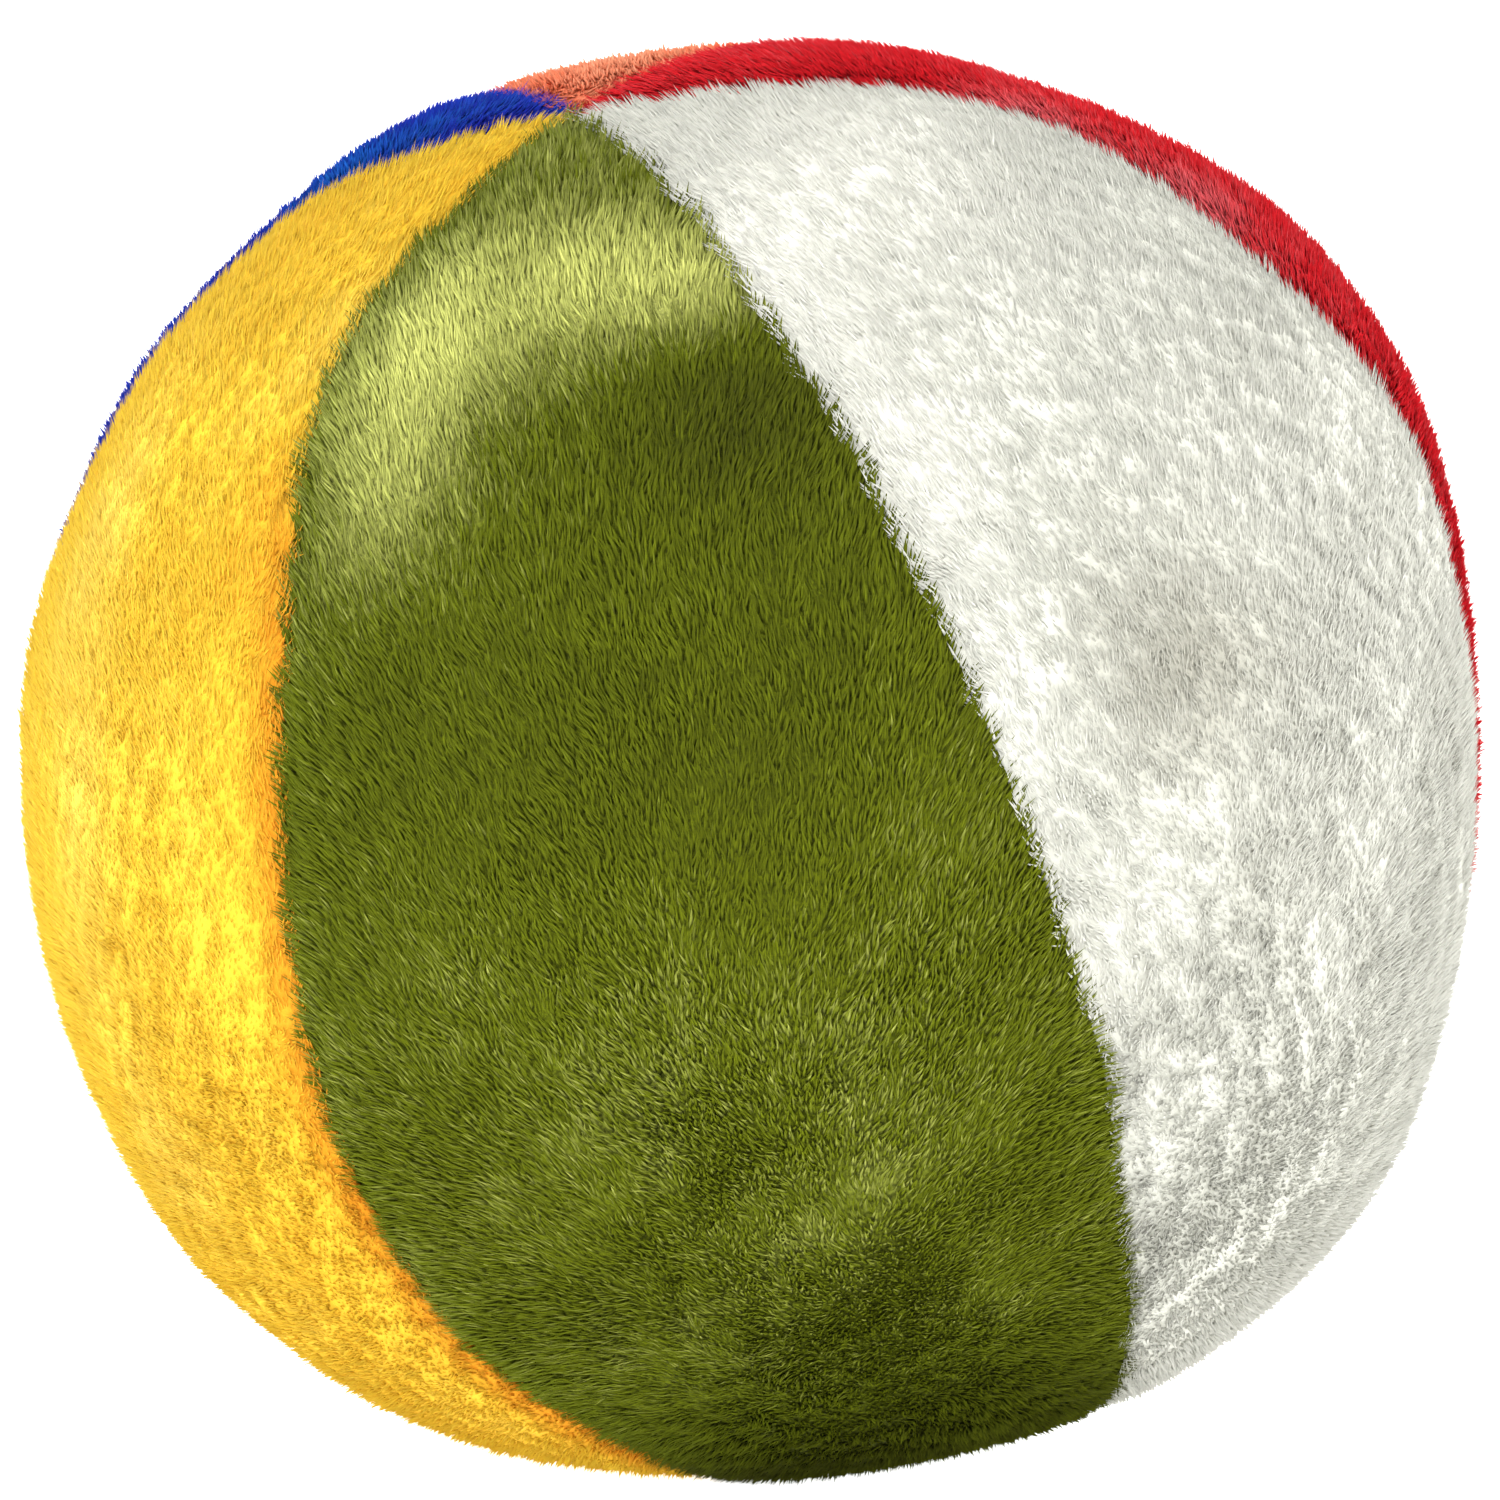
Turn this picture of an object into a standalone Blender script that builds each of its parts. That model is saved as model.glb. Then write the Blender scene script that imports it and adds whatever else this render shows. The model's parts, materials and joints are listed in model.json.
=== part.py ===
"""A furry beach ball: a zip-off cover of six pile-fabric panels over an inflatable inner ball.

Metres, +Z up. The origin is the middle of the flat patch that the ball rests on.
The panels meet at two poles, and the line through the poles leans away from upright, as the ball lies.
Latitude and longitude are counted on that leaning axis. Longitude 0 is the way that the axis leans.
"""

from math import asin, atan2, cos, degrees, exp, pi, radians, sin

import bmesh
import bpy
from mathutils import Matrix, Vector

MM = 0.001
GAP = 0.3 * MM  # clearance between pieces that touch

# The ball as it rests.
BALL_R = 200 * MM  # out to the tips of the pile
SAG = 6 * MM  # how far the soft ball flattens where it rests
LEAN_DEG = 25.8  # the pole line, from upright
LEAN_HEADING_DEG = -122.6  # the way that it leans, counted from +X
FIRST_SEAM_DEG = -3.0  # longitude of the seam between the yellow and the green panel

# The stuffed cover isn't quite round. Each swelling is a direction from the ball's middle, how far it
# stands out there, and the angle in degrees at which about a third of that is left.
SWELLINGS = (
    ((0.79, 0.06, 0.61), 12 * MM, 25),
    ((0.77, -0.07, -0.64), 10 * MM, 28),
    ((-0.62, -0.08, -0.78), 8 * MM, 24),
    ((-1.0, -0.01, -0.09), 2.5 * MM, 25),
)

# The cover: six equal panels of pile fabric.
PANEL_COLOURS = {
    "green": "6B7A1C",
    "white": "EFF0EA",
    "red": "C8101C",
    "orange": "E2602A",
    "blue": "1A2AA8",
    "yellow": "F2C934",
}
PANEL_TURN_DEG = 360 / len(PANEL_COLOURS)
# Where a seam pulls to one side: for each seam's number, the latitude, the spread, and how far, in degrees.
SEAM_PULLS = {
    0: ((66, 22, -10), (-45, 28, 11)),
    1: ((30, 60, -1.5), (-60, 20, 3)),
    2: ((60, 17, 11.5), (-16, 17, -8)),
    5: ((64, 14, -17),),
}
PANEL_T = 8 * MM  # backing cloth and the pile standing on it
PANEL_STEPS = 8  # facets across a panel
PANEL_RINGS = 24  # facets from pole to pole

# The zip, along the seam between the orange and the blue panel.
ZIP_SEAM = 4  # the seam's number, counted from the first
ZIP_SLOT_HALF = 5.2 * MM  # from the seam to the panel's turned-in edge
ZIP_SLOT_LATS = (13.8, -59.2)
TAPE_R = (190.1 * MM, 190.7 * MM)
TAPE_HALF = (0.65 * MM, 12 * MM)
TAPE_LATS = (15.0, -61.0)
CHAIN_R = (191.0 * MM, 193.2 * MM)
CHAIN_HALF = (0.65 * MM, 3.3 * MM)
CHAIN_LATS = (12.3, -55.3)
STOP_LENGTH_DEG = 0.6
TOP_STOP_LAT = 13.2
BOTTOM_STOP_LAT = -55.6
SLIDER_LAT = 10.0  # middle of the slider when the zip is shut
SLIDER_HALF_DEG = 2.2
ZIP_STEP_DEG = 3.0  # facets along the zip

# The slider's plates, above and below the chain, and the arch that carries the pull.
PLATE_TOP_R = (193.5 * MM, 194.9 * MM)
PLATE_BASE_R = (188.6 * MM, 189.8 * MM)
PLATE_HALF = 4.4 * MM
LIP_T = 0.8 * MM
LIP_R = 191.2 * MM
POST_HALF = 0.35 * MM  # the post that parts the two rows of teeth
ARCH_HALF_LENGTH = 4.5 * MM
ARCH_HALF_WIDTH = 1.0 * MM
ARCH_T = 1.1 * MM
ARCH_R = 198.3 * MM
PULL_HINGE_R = 196.1 * MM
PULL_LENGTH = 22 * MM
PULL_HALF_WIDTH = 4.2 * MM
PULL_T = 1.2 * MM
PULL_EYE_HALF = 1.5 * MM
PULL_EYE_LENGTH = 5.6 * MM

# The inner ball: six welded vinyl panels and a round patch over each pole.
INNER_R = 187.8 * MM
VINYL_T = 0.6 * MM
INNER_STEPS = 6
INNER_RINGS = 18
INNER_END_LAT = 82.0  # where the panels stop, under the patch
PATCH_LAT = 76.0  # edge of the round patch
PATCH_LIFT = 0.4 * MM

# The valve, a sunk cup in the inner ball, behind the zip.
VALVE_LAT = -20.0
VALVE_HOLE_R = 14.5 * MM
CUP_R = 12 * MM  # inside the cup
CUP_WALL = 1 * MM
CUP_RIM_R = 18 * MM
CUP_RIM_HEIGHTS = (182.9 * MM, 184.1 * MM)  # from the ball's middle, under the panel's flat facets
CUP_FLOOR_HEIGHTS = (172.2 * MM, 173.4 * MM)
NECK_R = (3.6 * MM, 5.0 * MM)
NECK_END = 164 * MM
STOPPER_HEAD = (8.0 * MM, 1.5 * MM)  # radius and thickness
STOPPER_SHANK_R = 3.3 * MM
STOPPER_END = 166 * MM
TETHER_R = (9.0 * MM, 11.2 * MM)
TETHER_T = 0.8 * MM
TETHER_TURN_DEG = 230
FLAP_R = 5.0 * MM
FLAP_T = 0.8 * MM
ROUND_STEPS = 24


def clear_scene():
    for obj in list(bpy.data.objects):
        bpy.data.objects.remove(obj)


def linear(hex_colour):
    """The linear colour, with alpha, of an sRGB hex value."""
    channels = [int(hex_colour[i : i + 2], 16) / 255 for i in (0, 2, 4)]
    return [c / 12.92 if c <= 0.04045 else ((c + 0.055) / 1.055) ** 2.4 for c in channels] + [1.0]


def material(name, hex_colour, roughness, metallic=0.0):
    made = bpy.data.materials.new(name)
    made.use_nodes = True
    shader = made.node_tree.nodes["Principled BSDF"]
    shader.inputs["Base Color"].default_value = linear(hex_colour)
    shader.inputs["Roughness"].default_value = roughness
    shader.inputs["Metallic"].default_value = metallic
    made.diffuse_color = linear(hex_colour)
    return made


def new_collection(name):
    made = bpy.data.collections.new(name)
    bpy.context.scene.collection.children.link(made)
    return made


def add_empty(name, parent=None, location=(0, 0, 0), rotation=(0, 0, 0)):
    empty = bpy.data.objects.new(name, None)
    empty.parent = parent
    empty.location = location
    empty.rotation_euler = rotation
    ball.objects.link(empty)
    return empty


def add_part(name, mesh, skin, parent, location=(0, 0, 0), rotation=(0, 0, 0)):
    """One piece of the ball. The finish sits on the object, so that pieces can share a mesh."""
    obj = bpy.data.objects.new(name, mesh)
    ball.objects.link(obj)
    obj.parent = parent
    obj.location = location
    obj.rotation_euler = rotation
    if not mesh.materials:
        mesh.materials.append(None)
    obj.material_slots[0].link = "OBJECT"
    obj.material_slots[0].material = skin
    return obj


def add_cutter(name, mesh, parent=None, location=(0, 0, 0), rotation=(0, 0, 0)):
    obj = bpy.data.objects.new(name, mesh)
    cutters.objects.link(obj)
    obj.parent = parent
    obj.location = location
    obj.rotation_euler = rotation
    obj.hide_render = True
    obj.display_type = "WIRE"
    return obj


def boolean(obj, other, operation="DIFFERENCE"):
    modifier = obj.modifiers.new(f"{operation.lower()}_{other.name}", "BOOLEAN")
    modifier.operation = operation
    modifier.solver = "EXACT"
    modifier.object = other


def finished_mesh(name, bm, smooth_deg=30):
    """The bmesh as a mesh: points on the axis merged, faces out, and round faces shaded smooth."""
    bmesh.ops.remove_doubles(bm, verts=bm.verts, dist=1e-6)
    bmesh.ops.recalc_face_normals(bm, faces=bm.faces)
    mesh = bpy.data.meshes.new(name)
    bm.to_mesh(mesh)
    bm.free()
    mesh.shade_smooth()
    mesh.set_sharp_from_angle(angle=radians(smooth_deg))
    return mesh


def spun_mesh(name, section, axis, turn, steps, in_quads=False):
    """A flat section carried round an axis through the origin, with the section as its two ends.

    A section whose outline goes out along one side and back along the other can be filled in quads,
    so that its ends can be bent afterwards.
    """
    bm = bmesh.new()
    verts = [bm.verts.new(point) for point in section]
    if in_quads:
        for i in range(len(verts) // 2 - 1):
            bm.faces.new((verts[i], verts[i + 1], verts[-i - 2], verts[-i - 1]))
    else:
        bm.faces.new(verts)
    geometry = [*bm.faces, *bm.edges, *bm.verts]
    bmesh.ops.spin(
        bm, geom=geometry, cent=(0, 0, 0), axis=axis, angle=turn, steps=steps, use_merge=False
    )
    return finished_mesh(name, bm)


def extruded_mesh(name, outline, along):
    """A flat outline pushed along a vector."""
    bm = bmesh.new()
    face = bm.faces.new([bm.verts.new(point) for point in outline])
    pushed = bmesh.ops.extrude_face_region(bm, geom=[face], use_keep_orig=True)
    moved = [item for item in pushed["geom"] if isinstance(item, bmesh.types.BMVert)]
    bmesh.ops.translate(bm, verts=moved, vec=along)
    return finished_mesh(name, bm)


def turned_mesh(name, profile):
    """A closed profile of (radius, height) points turned a full circle about Z."""
    bm = bmesh.new()
    verts = [bm.verts.new((r, 0, z)) for r, z in profile]
    edges = [bm.edges.new(pair) for pair in zip(verts, verts[1:])]
    if profile[0][0] > 0:  # a profile that doesn't reach the axis closes on itself
        edges.append(bm.edges.new((verts[-1], verts[0])))
    bmesh.ops.spin(
        bm, geom=verts + edges, cent=(0, 0, 0), axis=(0, 0, 1), angle=2 * pi, steps=ROUND_STEPS, use_merge=True
    )
    return finished_mesh(name, bm)


def meridian(radius, start_deg, end_deg, count):
    """Points in the XZ plane on a circle about the origin, from one latitude to another."""
    lats = [radians(start_deg + (end_deg - start_deg) * i / count) for i in range(count + 1)]
    return [(radius * cos(lat), 0, radius * sin(lat)) for lat in lats]


def lune_mesh(name, outer_r, thickness, end_lat, steps, rings):
    """A curved panel from one end latitude to the other, one sixth of the way round."""
    section = meridian(outer_r, -end_lat, end_lat, rings)
    section += meridian(outer_r - thickness, end_lat, -end_lat, rings)
    return spun_mesh(name, section, (0, 0, 1), radians(PANEL_TURN_DEG), steps, in_quads=True)


def zip_mesh(name, section, lats):
    """A section of (radius, offset) points carried down the zip's seam, which is the XZ plane."""
    start, end = lats
    turned = [(r * cos(radians(start)), y, r * sin(radians(start))) for r, y in section]
    steps = max(2, round((start - end) / ZIP_STEP_DEG))
    return spun_mesh(name, turned, (0, 1, 0), radians(start - end), steps)


def rectangle(radii, offsets):
    return [(radii[0], offsets[0]), (radii[0], offsets[1]), (radii[1], offsets[1]), (radii[1], offsets[0])]


def seam_direction(number):
    """Rotation about the pole line that brings +X to a seam's longitude."""
    return radians(FIRST_SEAM_DEG + number * PANEL_TURN_DEG)


def own_mesh(pieces, moved):
    """Give each piece a mesh of its own, its points moved by a rule that works on the pole line's axes."""
    bpy.context.view_layer.update()
    axes = pole_line.matrix_world
    for piece in pieces:
        piece.data = piece.data.copy()
        place = axes.inverted() @ piece.matrix_world
        for vertex in piece.data.vertices:
            vertex.co = place.inverted() @ moved(place @ vertex.co)


def swollen(point):
    """The point moved straight out from the ball's middle by the swellings there."""
    reach = pole_line.matrix_world.to_3x3() @ point
    out = 0.0
    for centre, height, width_deg in SWELLINGS:
        out += height * exp(-((reach.angle(Vector(centre)) / radians(width_deg)) ** 2))
    return point * (1 + out / point.length)


def pulled(number):
    """A rule that turns a panel's points about the pole line, each edge by as much as its seam pulls."""

    def pull_deg(seam, lat):
        pulls = SEAM_PULLS.get(seam % len(PANEL_COLOURS), ())
        return sum(far * exp(-(((lat - middle) / spread) ** 2)) for middle, spread, far in pulls)

    def moved(point):
        lat = degrees(asin(point.z / point.length))
        across = (degrees(atan2(point.y, point.x)) - FIRST_SEAM_DEG) / PANEL_TURN_DEG - number
        share = (across + 1) % len(PANEL_COLOURS) - 1  # 0 at the panel's first seam, 1 at its second
        turn = (1 - share) * pull_deg(number, lat) + share * pull_deg(number + 1, lat)
        return Matrix.Rotation(radians(turn), 3, "Z") @ point

    return moved


def make_cover(skins):
    """Six panels, each moved out from the pole line so that the gap along a seam is the same all the way."""
    mesh = lune_mesh("cover_panel", BALL_R, PANEL_T, 90, PANEL_STEPS, PANEL_RINGS)
    panels = []
    for number, (colour, skin) in enumerate(skins.items()):
        turn = seam_direction(number)
        middle = turn + radians(PANEL_TURN_DEG) / 2
        offset = (GAP * cos(middle), GAP * sin(middle), 0)
        panels.append(add_part(f"panel_{colour}", mesh, skin, pole_line, offset, (0, 0, turn)))
        own_mesh([panels[-1]], pulled(number))
    own_mesh(panels, swollen)
    bm = bmesh.new()
    bmesh.ops.create_cube(bm, size=2 * BALL_R)
    floor = add_cutter("floor_cutter", finished_mesh("floor_cutter", bm), location=(0, 0, -BALL_R))
    for panel in (panels[0], panels[-1]):  # the green and the yellow panel touch the ground
        boolean(panel, floor)
    section = rectangle((INNER_R, BALL_R + PANEL_T), (-ZIP_SLOT_HALF, ZIP_SLOT_HALF))
    slot = add_cutter("zip_slot_cutter", zip_mesh("zip_slot_cutter", section, ZIP_SLOT_LATS), zip_line)
    for panel in (panels[ZIP_SEAM - 1], panels[ZIP_SEAM]):
        boolean(panel, slot)


def make_zip(cloth, nylon, metal):
    """Two tapes, each with its row of teeth, and a stop across both rows at each end."""
    for side, name in ((-1, "orange_side"), (1, "blue_side")):
        tape = rectangle(TAPE_R, sorted(side * y for y in TAPE_HALF))
        add_part(f"zip_tape_{name}", zip_mesh("zip_tape", tape, TAPE_LATS), cloth, zip_line)
        chain = rectangle(CHAIN_R, sorted(side * y for y in CHAIN_HALF))
        add_part(f"zip_teeth_{name}", zip_mesh("zip_teeth", chain, CHAIN_LATS), nylon, zip_line)
    stop = rectangle(CHAIN_R, (-CHAIN_HALF[1], CHAIN_HALF[1]))
    for name, lat in (("zip_top_stop", TOP_STOP_LAT), ("zip_bottom_stop", BOTTOM_STOP_LAT)):
        add_part(name, zip_mesh(name, stop, (lat, lat - STOP_LENGTH_DEG)), metal, zip_line)


def make_slider(metal):
    """The slider turns about the ball's middle, and its pull swings on the arch above it."""
    half = [
        (PLATE_BASE_R[0], PLATE_HALF),
        (PLATE_BASE_R[1], PLATE_HALF),
        (PLATE_BASE_R[1], POST_HALF),
        (PLATE_TOP_R[0], POST_HALF),
        (PLATE_TOP_R[0], PLATE_HALF - LIP_T),
        (LIP_R, PLATE_HALF - LIP_T),
        (LIP_R, PLATE_HALF),
        (PLATE_TOP_R[1], PLATE_HALF),
    ]
    section = half + [(r, -y) for r, y in reversed(half)]
    lats = (SLIDER_LAT + SLIDER_HALF_DEG, SLIDER_LAT - SLIDER_HALF_DEG)
    slider = add_part("zip_slider", zip_mesh("zip_slider", section, lats), metal, zip_line)

    sunk = PLATE_TOP_R[1] - GAP  # the arch's feet are sunk into the top plate
    chamfer = 1.4 * MM
    outer = [(ARCH_HALF_LENGTH, sunk), (ARCH_HALF_LENGTH, ARCH_R - chamfer), (ARCH_HALF_LENGTH - chamfer, ARCH_R)]
    inner = [
        (ARCH_HALF_LENGTH - chamfer - ARCH_T / 2, ARCH_R - ARCH_T),
        (ARCH_HALF_LENGTH - ARCH_T, ARCH_R - ARCH_T - chamfer / 2),
        (ARCH_HALF_LENGTH - ARCH_T, sunk),
    ]
    outline = outer + [(-x, z) for x, z in reversed(outer)]
    outline += [(-x, z) for x, z in reversed(inner)] + inner
    points = [(x, -ARCH_HALF_WIDTH, z) for x, z in outline]
    arch = add_cutter(
        "slider_arch",
        extruded_mesh("slider_arch", points, (0, 2 * ARCH_HALF_WIDTH, 0)),
        zip_line,
        rotation=(0, radians(90 - SLIDER_LAT), 0),
    )
    boolean(slider, arch, "UNION")
    make_pull(metal)


def make_pull(metal):
    """A flat tab whose eye goes round the arch. Its origin is the bar that it swings on."""
    bar = PULL_T / 2
    tip = PULL_LENGTH - PULL_HALF_WIDTH
    neck = 0.8 * PULL_HALF_WIDTH
    side = [(-bar, neck), (bar + PULL_EYE_LENGTH, neck), (tip, PULL_HALF_WIDTH)]
    bow = [(tip + PULL_HALF_WIDTH * sin(a), PULL_HALF_WIDTH * cos(a)) for a in [pi * i / 12 for i in range(1, 12)]]
    outline = side + bow + [(x, -y) for x, y in reversed(side)]
    eye = [(bar, PULL_EYE_HALF), (bar, -PULL_EYE_HALF)]
    eye += [(bar + PULL_EYE_LENGTH, -PULL_EYE_HALF), (bar + PULL_EYE_LENGTH, PULL_EYE_HALF)]
    curve = bpy.data.curves.new("zip_pull", "CURVE")
    curve.dimensions = "2D"
    curve.fill_mode = "BOTH"
    curve.extrude = PULL_T / 2
    for points in (outline, eye):
        spline = curve.splines.new("POLY")
        spline.points.add(len(points) - 1)
        spline.use_cyclic_u = True
        for point, (x, y) in zip(spline.points, points):
            point.co = (x, y, 0, 1)
    lat = radians(SLIDER_LAT)
    hinge = (PULL_HINGE_R * cos(lat), 0, PULL_HINGE_R * sin(lat))
    pull = add_part("zip_pull", curve, metal, zip_line, hinge, (0, pi / 2 - lat, 0))
    weld = pull.modifiers.new("weld", "WELD")
    weld.merge_threshold = 1e-6


def make_inner_ball(vinyl):
    """Six welded panels, turned half a panel from the cover's, and a round patch over each pole."""
    mesh = lune_mesh("inner_panel", INNER_R, VINYL_T, INNER_END_LAT, INNER_STEPS, INNER_RINGS)
    panels = []
    for number in range(len(PANEL_COLOURS)):
        turn = seam_direction(number + 0.5)
        middle = turn + radians(PANEL_TURN_DEG) / 2
        offset = (GAP * cos(middle), GAP * sin(middle), 0)
        panels.append(add_part(f"inner_panel_{number + 1}", mesh, vinyl, pole_line, offset, (0, 0, turn)))
    patch_r = INNER_R + VINYL_T + PATCH_LIFT
    rim = meridian(patch_r, 90, PATCH_LAT, 4) + meridian(patch_r - VINYL_T, PATCH_LAT, 90, 4)
    patch = turned_mesh("inner_patch", [(0.0 if x < 1e-6 else x, z) for x, _, z in rim])
    top = add_part("inner_patch_top", patch, vinyl, pole_line)
    bottom = add_part("inner_patch_bottom", patch, vinyl, pole_line, rotation=(pi, 0, 0))
    own_mesh([*panels, top, bottom], swollen)

    bm = bmesh.new()
    bmesh.ops.create_cone(
        bm, cap_ends=True, segments=ROUND_STEPS, radius1=VALVE_HOLE_R, radius2=VALVE_HOLE_R, depth=20 * MM
    )
    hole = add_cutter("valve_hole_cutter", finished_mesh("valve_hole_cutter", bm), valve_line, (0, 0, INNER_R))
    boolean(panels[ZIP_SEAM - 1], hole)


def make_valve(vinyl):
    """A sunk cup with a neck, a stopper on a strap, and a flap that shuts the neck from inside."""
    rim_low, rim_high = CUP_RIM_HEIGHTS
    floor_low, floor_high = CUP_FLOOR_HEIGHTS
    bore, neck = NECK_R
    cup = [
        (CUP_R, rim_high),
        (CUP_RIM_R, rim_high),
        (CUP_RIM_R, rim_low),
        (CUP_R + CUP_WALL, rim_low),
        (CUP_R + CUP_WALL, floor_low),
        (neck, floor_low),
        (neck, NECK_END),
        (bore, NECK_END),
        (bore, floor_high),
        (CUP_R, floor_high),
    ]
    add_part("valve_cup", turned_mesh("valve_cup", cup), vinyl, valve_line)

    head_r, head_t = STOPPER_HEAD
    head_low = floor_high + GAP
    stopper = [
        (0, head_low + head_t),
        (head_r, head_low + head_t),
        (head_r, head_low),
        (STOPPER_SHANK_R, head_low),
        (STOPPER_SHANK_R, STOPPER_END),
        (0, STOPPER_END),
    ]
    add_part("valve_stopper", turned_mesh("valve_stopper", stopper), vinyl, valve_line)

    low, high = head_low, head_low + TETHER_T
    strap = [(TETHER_R[0], 0, low), (TETHER_R[1], 0, low), (TETHER_R[1], 0, high), (TETHER_R[0], 0, high)]
    turn = radians(TETHER_TURN_DEG)
    mesh = spun_mesh("stopper_strap", strap, (0, 0, 1), turn, ROUND_STEPS // 2)
    add_part("stopper_strap", mesh, vinyl, valve_line)

    top = -GAP
    flap = [(0, top), (FLAP_R, top), (FLAP_R, top - FLAP_T), (0, top - FLAP_T)]
    mesh = turned_mesh("valve_flap", flap)
    mesh.transform(Matrix.Translation((FLAP_R, 0, 0)))  # its origin is the edge that it hinges on
    add_part("valve_flap", mesh, vinyl, valve_line, (-FLAP_R, 0, NECK_END))


clear_scene()
ball = new_collection("furry_beach_ball")
cutters = new_collection("cutters")
lean = (0, radians(LEAN_DEG), radians(LEAN_HEADING_DEG))
pole_line = add_empty("pole_line", location=(0, 0, BALL_R - SAG), rotation=lean)
zip_line = add_empty("zip_line", pole_line, rotation=(0, 0, seam_direction(ZIP_SEAM)))
valve_line = add_empty("valve_line", zip_line, rotation=(0, radians(90 - VALVE_LAT), 0))
pile = {colour: material(f"pile_{colour}", code, 0.9) for colour, code in PANEL_COLOURS.items()}
make_cover(pile)
zinc = material("zip_metal", "B9BCC0", 0.35, 1.0)
make_zip(material("zip_tape", "3A3A3C", 0.9), material("zip_nylon", "2E2E30", 0.45), zinc)
make_slider(zinc)
clear_vinyl = material("inner_vinyl", "DDE6EA", 0.25)
make_inner_ball(clear_vinyl)
make_valve(material("valve_vinyl", "E8EDF0", 0.35))
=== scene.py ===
"""The looks of a furry beach ball.

Six panels of short-pile faux fur are sewn into a cover, which zips over a blown-up vinyl ball.
Each panel is a knitted backing with its pile standing on it, tuft by tuft. The zip is a moulded
coil on woven tapes, with a plated slider. Metres, +Z up.
"""

import json
from math import cos, pi, radians, sin

import bmesh
import bpy
import numpy as np
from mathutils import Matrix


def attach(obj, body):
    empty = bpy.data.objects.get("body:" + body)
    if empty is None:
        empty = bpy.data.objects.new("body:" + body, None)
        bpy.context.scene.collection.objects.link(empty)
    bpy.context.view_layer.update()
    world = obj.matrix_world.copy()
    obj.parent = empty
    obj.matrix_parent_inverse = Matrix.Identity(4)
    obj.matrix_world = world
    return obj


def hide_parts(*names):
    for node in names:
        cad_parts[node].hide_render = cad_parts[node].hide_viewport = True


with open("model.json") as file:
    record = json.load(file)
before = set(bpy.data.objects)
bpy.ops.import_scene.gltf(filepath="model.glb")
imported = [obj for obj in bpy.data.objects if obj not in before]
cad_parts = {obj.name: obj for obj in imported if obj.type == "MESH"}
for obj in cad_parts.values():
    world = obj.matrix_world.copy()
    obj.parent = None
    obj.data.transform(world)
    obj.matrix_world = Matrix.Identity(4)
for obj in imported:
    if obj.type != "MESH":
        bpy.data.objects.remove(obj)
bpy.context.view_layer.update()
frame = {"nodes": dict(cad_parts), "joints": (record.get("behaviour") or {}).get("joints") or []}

MM = 0.001

# ------------------------------------------------------------------ where the ball and its seams are

JOINTS = {joint["name"]: joint for joint in frame["joints"]}
MIDDLE = np.array(JOINTS["zip_open"]["pos_m"])  # the slider turns about the middle of the ball
LEAN_DEG = 25.8  # the line through the two poles, from upright
LEAN_HEADING_DEG = -122.6
FIRST_SEAM_DEG = -3.0  # the seam between the yellow and the green panel
PANEL_TURN_DEG = 60.0
PANELS = ("green", "white", "red", "orange", "blue", "yellow")  # by longitude, from the first seam
ZIP_SEAM = 4  # between the orange and the blue panel
ZIP_LATS = (13.8, -59.2)  # the stretch where the two panels part for the zip
ZIP_FADE_DEG = (0.8, 1.8)  # past each end of it and inside it, where they draw together
ZIP_HALF = 5.2 * MM
# Where a seam pulls to one side, by its number: the latitude, the spread and how far, in degrees.
SEAM_PULLS = {
    0: ((66, 22, -10), (-45, 28, 11)),
    1: ((30, 60, -1.5), (-60, 20, 3)),
    2: ((60, 17, 11.5), (-16, 17, -8)),
    5: ((64, 14, -17),),
}

# The ball is a little squarish. A swelling is a direction, how far it stands out, and how wide it is.
PILE_R = 198.6 * MM  # out to the tips of the pile, where nothing swells
SWELLINGS = (
    ((0.79, 0.06, 0.61), 13.2 * MM, 25),
    ((0.77, -0.07, -0.64), 11.0 * MM, 28),
    ((-0.62, -0.08, -0.78), 9.3 * MM, 24),
    ((-1.0, -0.01, -0.09), 2.5 * MM, 25),
    ((-0.17, 0.10, 0.98), -2.7 * MM, 20),
)
SETTLE = 3.0 * MM  # how softly the pile flattens on the floor

# ------------------------------------------------------------------ the cloth

PILE_H = 2.6 * MM  # from the undercoat's face to the tips, as the pile lies
ROOT_DEPTH = 0.7 * MM  # how far under that face a tuft starts
BACKING_T = 3.2 * MM  # the knit and the undercoat of short dense fibres on it
THICKER = {"white": 0.8 * MM, "yellow": 0.8 * MM}  # fuller undercoat, so fewer gaps show
LUMP_H = 1.1 * MM  # how far the cover lies off its round, either way
LUMP_SIZE = 95 * MM
SEAM_GAP = 0.15 * MM
SEAM_DIP = 2.0 * MM  # how far a seam pulls the undercoat in
SEAM_REACH = 7.0 * MM  # how far to each side it does so
POLE_LAT = 89.6
TUFT_SPACING = 1.10 * MM
TUFT_LENGTH = 6.4 * MM
TUFT_WIDTH = 1.25 * MM
TUFT_LEAN_DEG = 62.0  # from upright
LEAN_RANGE_DEG = (15, 80)
FAN_DEG = 34.0  # how far tufts at a panel's two edges turn outwards
# How tufts drift in soft noise: the size of its lumps, and how far it turns them, in degrees.
DRIFTS = {
    "sway": (75 * MM, 12),  # to one side, in wide sweeps
    "clump": (11 * MM, 18),  # to one side, lock by lock
    "lift": (60 * MM, 7),  # up or down, in wide sweeps
    "ruffle": (9 * MM, 10),  # up or down, lock by lock
    "ragged": (15 * MM, 24),  # over a seam or away from it
}
SIDE_SPREAD_DEG = 8  # from one tuft to the next
LEAN_SPREAD_DEG = 6
LENGTH_SPREAD = 0.1
TONE_SPREAD = 0.05  # the random spread in each tuft's nap and painted light value
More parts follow.
